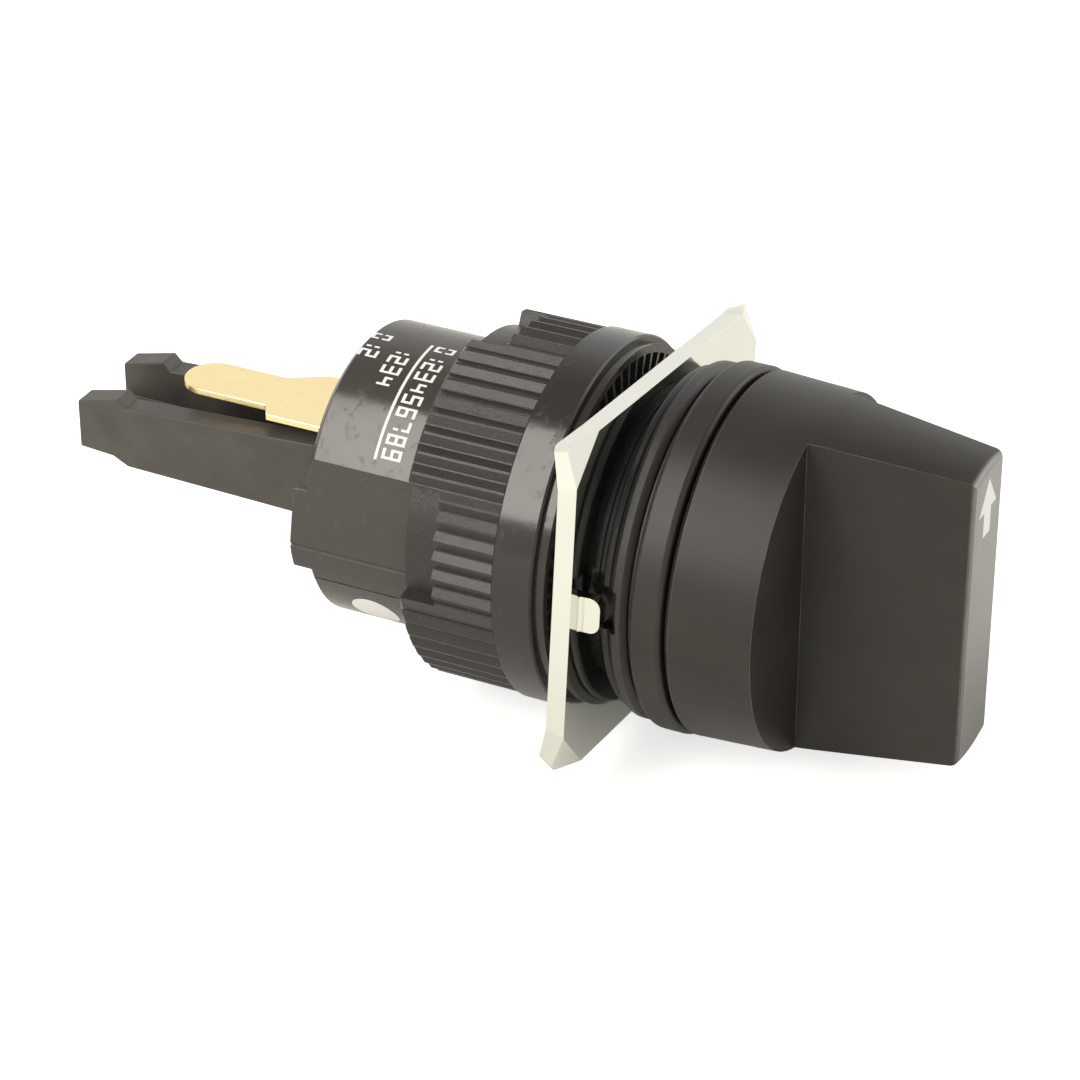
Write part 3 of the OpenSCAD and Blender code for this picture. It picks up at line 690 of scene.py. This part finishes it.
def print_dot():
    """A plain white spot on the barrel: a disc of rings wrapped round the cylinder."""
    spot = on_surface("dot", housing)
    ring, turn = np.meshgrid(np.linspace(DOT_HUB, 1, DOT_RINGS),
                             np.linspace(0, 2 * np.pi, DOT_SPOKES, endpoint=False), indexing="ij")
    y = spot.y + ring * DOT_R * np.cos(turn)
    angle = around(spot) + ring * DOT_R * np.sin(turn) / BARREL_R
    r = BARREL_R + INK
    places = np.stack([-r * np.cos(angle), y, r * np.sin(angle)], -1).reshape(-1, 3)
    return new_piece("print_dot", "operator", "mark_white", places,
                     grid_faces(DOT_RINGS, DOT_SPOKES, wrap=True))


print_scale()
print_dot()

# ---------------------------------------------------------------- stage, light and background

FLOOR_GAP, FLOOR_HALF = 0.02 * MM, 0.6
FLOOR_Z = min(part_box(node)[0].z for node in ("ring_nut", "lock_plate")) - FLOOR_GAP
LAMP_AIM = Vector((0, 8, 0)) * MM
LAMP_COLOUR = (1.0, 0.97, 0.9)


def make_floor():
    """A pale floor, lifted for the camera and for reflections, with the part's shadow on it."""
    half = FLOOR_HALF
    mesh = bpy.data.meshes.new("floor")
    mesh.from_pydata([(-half, -half, FLOOR_Z), (half, -half, FLOOR_Z), (half, half, FLOOR_Z),
                      (-half, half, FLOOR_Z)], [], [(0, 1, 2, 3)])
    floor = bpy.data.objects.new("floor", mesh)
    bpy.context.scene.collection.objects.link(floor)
    finish = Finish("pale_floor", {"Roughness": 0.9, "Specular IOR Level": 0.1,
                                   "Base Color": colour(0.87, 0.855, 0.815),
                                   "Emission Color": colour(1, 1, 1)})
    seen = finish.add("ShaderNodeLightPath", out="Is Camera Ray")
    glossy = finish.add("ShaderNodeLightPath", out="Is Glossy Ray")
    clear = finish.add("ShaderNodeLightPath", out="Is Transmission Ray")
    finish.feed("Emission Strength", seen.over(clear) * 0.65 + glossy * 0.1)
    floor.data.materials.append(finish.material)
    floor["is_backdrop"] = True


def make_world():
    """An even white surround that falls off overhead, the same for light, camera and reflections."""
    world = bpy.data.worlds.new("studio")
    world.use_nodes = True
    bpy.context.scene.world = world
    tree = world.node_tree
    light = tree.nodes["Background"]
    place = tree.nodes.new("ShaderNodeTexCoord")
    split = tree.nodes.new("ShaderNodeSeparateXYZ")
    ramp = tree.nodes.new("ShaderNodeMapRange")
    tree.links.new(place.outputs["Generated"], split.inputs[0])
    tree.links.new(split.outputs["Z"], ramp.inputs["Value"])
    for socket, value in {"From Min": 0.55, "From Max": 0.85, "To Min": 1.0, "To Max": 0.36}.items():
        ramp.inputs[socket].default_value = value
    tree.links.new(ramp.outputs["Result"], light.inputs["Strength"])
    light.inputs["Color"].default_value = (1.0, 0.985, 0.955, 1.0)


def add_softbox(name, direction, distance, long_side, short_side, power):
    """A lamp that faces the part from a direction, its long side across the switch's axis."""
    data = bpy.data.lights.new(name, "AREA")
    data.shape = "RECTANGLE"
    data.size = long_side
    data.size_y = short_side
    data.energy = power
    data.color = LAMP_COLOUR
    lamp = bpy.data.objects.new(name, data)
    back = Vector(direction).normalized()
    across = Vector((0, 1, 0)).cross(back).normalized()
    lamp.matrix_world = Matrix((across, back.cross(across), back)).transposed().to_4x4()
    lamp.location = LAMP_AIM + back * distance
    bpy.context.scene.collection.objects.link(lamp)


make_floor()
make_world()
add_softbox("rear_left_box", (-0.611, 0.378, 0.695), 0.42, 0.42, 0.12, 1.3)
add_softbox("front_right_box", (0.75, -0.55, 0.4), 0.5, 0.4, 0.4, 0.55)

bpy.context.scene.view_settings.view_transform = "Standard"

# ---------------------------------------------------------------- what shows where


def on_image(places):
    """Image x and y of places, by the same perspective as sight_line."""
    view = np.array(camera.matrix_world.inverted())
    seen = places @ view[:3, :3].T + view[:3, 3]
    long_side = max(IMAGE_W, IMAGE_H)
    focal = long_side * camera.data.lens / camera.data.sensor_width
    x = IMAGE_W / 2 - camera.data.shift_x * long_side + focal * seen[:, 0] / -seen[:, 2]
    y = IMAGE_H / 2 + camera.data.shift_y * long_side - focal * seen[:, 1] / -seen[:, 2]
    return np.stack([x, y], -1)


def measure_points():
    """How far each thing shows from its image point, by the finished vertices that the camera sees."""
    shown = {piece.name: finished(piece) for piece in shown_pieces()}
    everything, faces, count = [], [], 0
    for places, corners in shown.values():
        everything.append(places)
        faces.append(corners + count)
        count += len(places)
    tree = BVHTree.FromPolygons(np.concatenate(everything).tolist(), np.concatenate(faces).tolist())
    eye = camera.matrix_world.translation
    slack = 0.1 * MM

    def visible(name, keep=None):
        places = shown[name][0]
        if keep is not None:
            places = places[keep(places)]
        seen = []
        for place in places:
            away = Vector(place) - eye
            hit = tree.ray_cast(eye, away.normalized())
            seen.append(hit[0] is None or hit[3] > away.length - slack)
        return on_image(places[np.array(seen)])

    def farthest(name, x_way, y_way):
        image = visible(name)
        return image[(image @ np.array([x_way, y_way])).argmax()]

    def middle(image):
        return (image.min(0) + image.max(0)) / 2

    names = [name for name in shown if not name.startswith("print")]
    whole = on_image(np.concatenate([shown[name][0] for name in names]))
    line_span = around(on_surface("line_top", housing)) - around(on_surface("line_foot", housing))
    line = visible("print_scale", lambda places: np.arange(len(places)) < 2 * steps_round(line_span))
    tab_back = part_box("lock_plate")[0].y + 0.1 * MM
    found = {
        "left_edge": (whole[:, 0].min(), None),
        "right_edge": (whole[:, 0].max(), None),
        "top_edge": (None, whole[:, 1].min()),
        "bottom_edge": (None, whole[:, 1].max()),
        "lever_top_corner": farthest("knob_moulding", 1, -1),
        "lever_foot": farthest("knob_moulding", 0.3, 1),
        "plate_foot": farthest("plate_pressing", -0.5, 1),
        "nut_crown": farthest("nut_moulding", 0, -1),
        "prong_foot": farthest("carrier_moulding", -1, 0.6),
        "blade_tip": farthest("upper_blade_stamping", -1, 0),
        "plate_tab": middle(visible("plate_pressing", lambda places: places[:, 1] < tab_back)),
        "pointer": middle(visible("pointer_mark")),
        "line_top": line[line[:, 1].argmin()],
        "line_foot": line[line[:, 1].argmax()],
        "dot": middle(visible("print_dot")),
    }
    return {name: [None if want is None else round(float(got) - want, 1)
                   for got, want in zip(found[name], POINTS[name])] for name in found}


measure_points()
